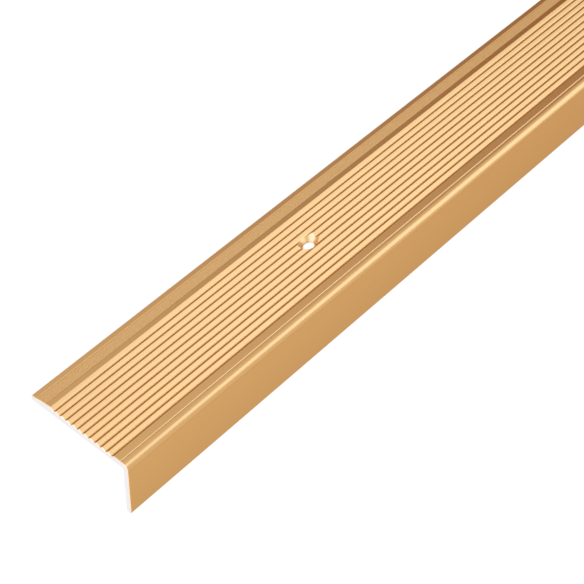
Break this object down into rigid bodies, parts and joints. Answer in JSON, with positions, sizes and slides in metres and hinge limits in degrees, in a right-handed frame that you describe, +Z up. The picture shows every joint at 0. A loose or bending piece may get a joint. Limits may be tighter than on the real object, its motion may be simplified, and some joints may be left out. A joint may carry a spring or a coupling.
{
  "type": "edge protection profile",
  "caption": "Angle profile that covers a step's edge: ribbed tread leg, rounded nose, plain riser leg and countersunk screw holes along the tread.",
  "frame": {"origin": "bottom centre of the box around the profile as it lies on a floor, on the foot of its riser leg and its back edge", "axes": "+X along the length, +Z up from the floor, the riser leg's outer face towards -Y and the back edge towards +Y"},
  "size_m": [1, 0.0488, 0.0218],
  "materials": {
    "gold_anodised": "satin gold anodised"
  },
  "bodies": {
    "root": {"nosing_profile": "gold_anodised"}
  },
  "joints": []
}
